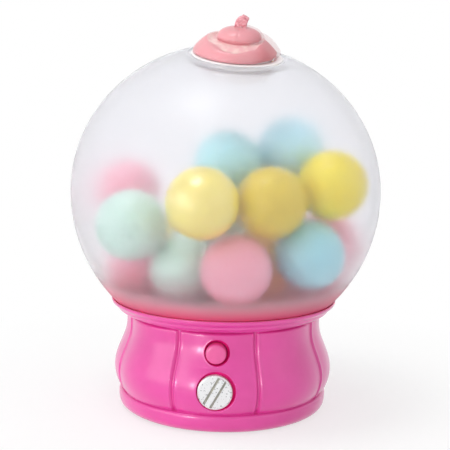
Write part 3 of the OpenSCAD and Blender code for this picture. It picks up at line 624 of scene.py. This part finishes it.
def swirl_profile(azimuth):
    """(radius, height) points of the swirl at an azimuth, from its pocket over both tiers."""
    foot, belly, face, brow, ridge_r, ridge_z, trough = [
        stop(row, azimuth) for row in (FOOT_R, BELLY_R, FACE_R, BROW_R, RIDGE_R, RIDGE_Z, TROUGH)]
    dip_z = (ridge_z + 3.15) / 2 - trough
    dent = 0.14 * max(0, 1 - abs(azimuth + 93) / 4)
    return [(0, 1.7), (5.7, 1.7), (5.8, 1.55), (5.8, 0.08), (6.0, 0.02), (foot - 0.25, 0.02),
            (foot, 0.1), (belly, 0.55), (face, 1.55), (brow, 2 + 0.3 * (ridge_z - 1)),
            (ridge_r + 0.35, ridge_z - 0.12), (ridge_r, ridge_z), (ridge_r - 0.3, ridge_z - 0.04),
            (ridge_r * 0.6 + 1.8, dip_z + 0.02), (4.55, dip_z + 0.12), (4.3, 3.2), (4.42, 3.36),
            (4.7, 3.5), (4.86 - dent, 3.85), (4.6 - dent, 4.6), (3.85 - dent, 5.3),
            (2.7, 5.75 - dent), (1.5, 5.95), (0, 6.0)]


def swirl(grow=None):
    """The swirl from its profiles. grow(azimuth, height) is how far its skin is moved outwards."""
    rows = len(swirl_profile(0))
    # Each row is spun at the height of its number, and is moved to its own place below.
    bm = spun([(0 if i in (0, rows - 1) else 10, i) for i in range(rows)], 96)
    # The shoulder's rows take the painted highlight, though not on the clear coat.
    for face in bm.faces:
        row = face.calc_center_median().z
        face.material_index = int(grow is None and HIGHLIGHT_FROM < row < HIGHLIGHT_TO)
    for v in bm.verts:
        azimuth = math.degrees(math.atan2(v.co.y, v.co.x))
        azimuth = azimuth - 360 if azimuth > 90 else azimuth
        row = round(v.co.z)
        r, z = swirl_profile(azimuth)[row]
        a = math.radians(azimuth)
        out = Vector((math.cos(a), math.sin(a), 0)) * r
        # The upper tier leans a little over the lower one.
        aside = 0.25 * min(1, max(0, (z - 3) / 1.2)) if row > UPPER_TIER else 0
        v.co = Vector((out.x + aside, out.y, z))
        if r > 6.2 or z > 2:
            v.co += out.normalized() * 0.09 * noise.noise(v.co * 0.8)
    if grow:
        bm.normal_update()
        for v in bm.verts:
            azimuth = math.degrees(math.atan2(v.co.y, v.co.x))
            v.co += v.normal * grow(azimuth, v.co.z)
            v.co.z = max(v.co.z, 0.0)
    return bm


def stub():
    """The torn stub where the swirl was pulled off its nozzle: a slanted, rough-cut tab."""
    bm = bmesh.new()
    outline = [(-1.1, 5.2), (-1.1, 6.6), (-0.85, 7.5), (-0.2, 8.15), (0.7, 8.72), (1.45, 8.4),
               (2.05, 7.95), (1.72, 7.5), (1.55, 6.4), (1.5, 5.2)]
    points = [bm.verts.new((x, -0.75, z)) for x, z in outline]
    face = bmesh.ops.contextual_create(bm, geom=points)["faces"]
    back = bmesh.ops.extrude_face_region(bm, geom=face)["geom"]
    bmesh.ops.translate(bm, vec=(0, 1.5, 0),
                        verts=[g for g in back if isinstance(g, bmesh.types.BMVert)])
    bmesh.ops.recalc_face_normals(bm, faces=bm.faces)
    bmesh.ops.bevel(bm, geom=bm.edges[:], offset=0.2, segments=2, affect="EDGES", profile=0.5,
                    material=-1, clamp_overlap=True)
    mesh = bpy.data.meshes.new("helper")
    bm.to_mesh(mesh)
    helper = bpy.data.objects.new("helper", mesh)
    bpy.context.scene.collection.objects.link(helper)
    skin = helper.modifiers.new("skin", "REMESH")
    skin.mode, skin.voxel_size = "VOXEL", 0.1
    shown = helper.evaluated_get(bpy.context.evaluated_depsgraph_get())
    done = bpy.data.meshes.new_from_object(shown)
    bpy.data.objects.remove(helper)
    bm = bmesh.new()
    bm.from_mesh(done)
    bm.normal_update()
    for v in bm.verts:
        # Stretched creases that run up the tab, and a torn top.
        along = Vector((v.co.x * 1.5, v.co.y * 1.5, v.co.z * 0.7))
        crease = abs(noise.noise(along + Vector((3, 1, 7))))
        v.co -= v.normal * 0.3 * max(0, 1 - crease * 6)
        v.co += v.normal * 0.1 * noise.noise(v.co * 2.5)
    bmesh.ops.smooth_vert(bm, verts=bm.verts, factor=0.4, use_axis_x=True, use_axis_y=True,
                          use_axis_z=True)
    return bm


def on_port(bm, lift=RIM):
    """Moves a shape from its own frame to the port's leaned one."""
    bmesh.ops.translate(bm, vec=(0, 0, lift), verts=bm.verts)
    bmesh.ops.transform(bm, matrix=LEANED, verts=bm.verts)
    return bm


def film(azimuth, height):
    """Thickness of the clear coat: greatest at the right and the back of the lower tier."""
    side = 0.5 + 0.5 * math.cos(math.radians(azimuth - 25))
    low = min(1, height / 0.6)
    return (0.16 + 0.95 * side ** 3) * (0.35 + 0.65 * low) * (1 if height < 4.2 else 0.45)


body = piece("swirl_body", on_port(swirl()), ROSE_VINYL, "cap", ["swirl_cap"])
body.data.materials.append(SHOULDER_HIGHLIGHT_VINYL)
piece("swirl_stub", on_port(stub()), TORN_VINYL, "cap", levels=0)
piece("swirl_glaze", on_port(swirl(film)), GLAZE, "cap")
piece("port_ring", on_port(spun([
    (8.15, 31.15), (9.9, 31.15), (10.08, 31.22), (10.1, 31.38), (10.0, 31.56), (9.75, 31.65),
    (8.35, 31.65), (8.18, 31.58)], 72), 0), MILKY_SEAL, "housing",
    ["port_seal"])

# ---- knob and button -----------------------------------------------------------------------

TO_FRONT = Matrix.Rotation(-math.pi / 2, 4, "X")


def coin_knob():
    """A disc with a raised grip bar between two grooves, whose shaft is behind it."""
    bm = bmesh.new()
    front, back = -24.7, -23.45
    bar_edge, groove_edge = 0.55, 1.08
    bar_rise, groove_depth = 0.25, 0.4
    bmesh.ops.create_cone(bm, cap_ends=True, segments=72, radius1=KNOB_R, radius2=KNOB_R,
                          depth=back - front)
    bmesh.ops.translate(bm, vec=(0, 0, (front + back) / 2), verts=bm.verts)
    face = min(bm.faces, key=lambda f: f.calc_center_median().z)
    bmesh.ops.inset_region(bm, faces=[face], thickness=0.35, depth=0.0)
    rim = [v for v in bm.verts
           if v.co.z < front + 0.01 and math.hypot(v.co.x, v.co.y) > KNOB_R - 0.01]
    bmesh.ops.translate(bm, vec=(0, 0, 0.3), verts=rim)
    face = min((f for f in bm.faces if len(f.verts) > 8), key=lambda f: f.calc_center_median().z)
    across = Vector((math.sin(BAR_ANGLE), math.cos(BAR_ANGLE), 0))
    for offset in (-groove_edge, -bar_edge, bar_edge, groove_edge):
        strips = [f for f in bm.faces
                  if f.calc_center_median().z < front + 0.01 and len(f.verts) > 4 or f is face]
        geometry = dict.fromkeys(g for f in strips for g in [f, *f.edges, *f.verts])
        bmesh.ops.bisect_plane(bm, geom=list(geometry), plane_co=across * offset, plane_no=across)
    strips = [f for f in bm.faces if f.calc_center_median().z < front + 0.01
              and all(math.hypot(v.co.x, v.co.y) < KNOB_R - 0.3 for v in f.verts)]
    for strip in strips:
        place = abs(strip.calc_center_median().dot(across))
        if place < bar_edge:
            lift = -bar_rise
        elif place < groove_edge:
            lift = groove_depth
        else:
            continue
        moved = bmesh.ops.extrude_discrete_faces(bm, faces=[strip])["faces"]
        bmesh.ops.translate(bm, vec=(0, 0, lift), verts=list({v for f in moved for v in f.verts}))
        # The grooves' floors take the painted groove shade.
        if lift > 0:
            moved[0].material_index = 1
    bmesh.ops.recalc_face_normals(bm, faces=bm.faces)
    bmesh.ops.transform(bm, matrix=Matrix.Translation((0, 0, KNOB_Z)) @ TO_FRONT, verts=bm.verts)
    made = piece("knob_disc", bm, SILVER, "knob", ["coin_knob"], levels=0)
    made.data.materials.append(GROOVE_SHADE_GREY)
    made.data.set_sharp_from_angle(angle=math.radians(30))
    edges = made.modifiers.new("rounded_edges", "BEVEL")
    edges.width, edges.segments, edges.limit_method = 0.08 * MM, 3, "ANGLE"
    edges.angle_limit, edges.harden_normals = math.radians(35), True


def push_button():
    """A round cap with a hollow back, on the stem that guides it."""
    bm = spun([(0, -23.55), (1.3, -23.55), (1.75, -23.5), (2.05, -23.35), (2.2, -23.1),
               (2.25, -22.7), (2.25, -20.5), (2.2, -20.35), (2.05, -20.3), (1.85, -20.35),
               (1.75, -20.5), (1.75, -21.8), (1.6, -21.9), (1.05, -21.9), (0.9, -21.8),
               (0.9, -16.85), (0.75, -16.7), (0, -16.7)], 48, closed=False)
    bmesh.ops.transform(bm, matrix=Matrix.Translation((0, 0, BUTTON_Z)) @ TO_FRONT, verts=bm.verts)
    piece("button_cap", bm, BUTTON_VINYL, "button", ["push_button"])


def return_spring():
    """A wound steel spring behind the button, of one fixed length, on the housing."""
    front, back, wire_r, coil_r, turns, steps = -21.87, -19.03, 0.15, 1.35, 5, 28
    rise = back - front - 2 * wire_r
    bm = bmesh.new()
    wire = bmesh.ops.create_circle(bm, segments=10, radius=wire_r,
                                   matrix=Matrix.Translation((coil_r, 0, front + wire_r))
                                   @ Matrix.Rotation(math.pi / 2, 4, "X"))["verts"]
    ring = list(dict.fromkeys(e for v in wire for e in v.link_edges))
    bmesh.ops.spin(bm, geom=wire + ring, cent=(0, 0, 0), axis=(0, 0, 1),
                   dvec=(0, 0, rise / (turns * steps)), angle=2 * math.pi * turns,
                   steps=turns * steps)
    bmesh.ops.holes_fill(bm, edges=bm.edges[:])
    bmesh.ops.recalc_face_normals(bm, faces=bm.faces)
    bmesh.ops.transform(bm, matrix=Matrix.Translation((0, 0, BUTTON_Z)) @ TO_FRONT, verts=bm.verts)
    made = piece("return_spring", bm, STEEL, "housing",
                 ["button_spring"], levels=0)
    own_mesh(made)


coin_knob()
push_button()
return_spring()

# ---- the nodes whose solids stay -----------------------------------------------------------

KEPT = {
    "base_plate": PINK_VINYL, "base_screws": STEEL, "feet": FOOT_RUBBER, "bearing_deck": ACETAL,
    "spindle_bush": BRASS, "ring_screws": STEEL, "globe_ring": LIT_INNER_VINYL, "knob_bush": BRASS,
    "turntable": LIT_INNER_VINYL, "spindle": STEEL, "crown_gear": ACETAL,
    "spindle_clip": STEEL, "knob_shaft": STEEL, "pinion": ACETAL, "knob_clip": STEEL,
    "button_clip": STEEL, "cap_plug": CLEAR_PLUG, "cap_seal": SEAL_RUBBER,
}
for name, material in KEPT.items():
    mesh = nodes[name].data
    mesh.materials.clear()
    mesh.materials.append(material)

# ---- floor ---------------------------------------------------------------------------------

# The paper is shown part evenly white and part with the machine's shadow on it. The even part
# grows from NEAR_WHITE to all of it between two distances from the middle, in metres.
SHADOW_NEAR, SHADOW_FAR, NEAR_WHITE = 0.035, 0.1, 0.68

bm = bmesh.new()
bmesh.ops.create_grid(bm, x_segments=2, y_segments=2, size=4)
mesh = bpy.data.meshes.new("floor")
bm.to_mesh(mesh)
bm.free()
floor = bpy.data.objects.new("floor", mesh)
# White paper, which shows the machine's soft shadow and is lit evenly white away from it.
floor_paper = bpy.data.materials.new("white_paper")
floor_paper.use_nodes = True
tree = floor_paper.node_tree
tree.nodes.clear()
paper = add(tree, "ShaderNodeBsdfDiffuse", {"Color": linear("#FBFBFB")})
lit = add(tree, "ShaderNodeEmission", {"Color": (1, 1, 1, 1), "Strength": 1.0})
place = add(tree, "ShaderNodeTexCoord").outputs["Object"]
far = add(tree, "ShaderNodeVectorMath", {0: place}, operation="LENGTH")
far = add(tree, "ShaderNodeMapRange", {
    "Value": far.outputs["Value"], "From Min": SHADOW_NEAR, "From Max": SHADOW_FAR,
    "To Min": NEAR_WHITE, "To Max": 1.0})
seen = light_seen(tree)
amount = add(tree, "ShaderNodeMath", {0: seen, 1: far.outputs[0]}, operation="MULTIPLY")
shown = add(tree, "ShaderNodeMixShader", {0: amount.outputs[0], 1: paper.outputs[0],
                                          2: lit.outputs[0]})
add(tree, "ShaderNodeOutputMaterial", {"Surface": shown.outputs[0]})
mesh.materials.append(floor_paper)
bpy.context.scene.collection.objects.link(floor)
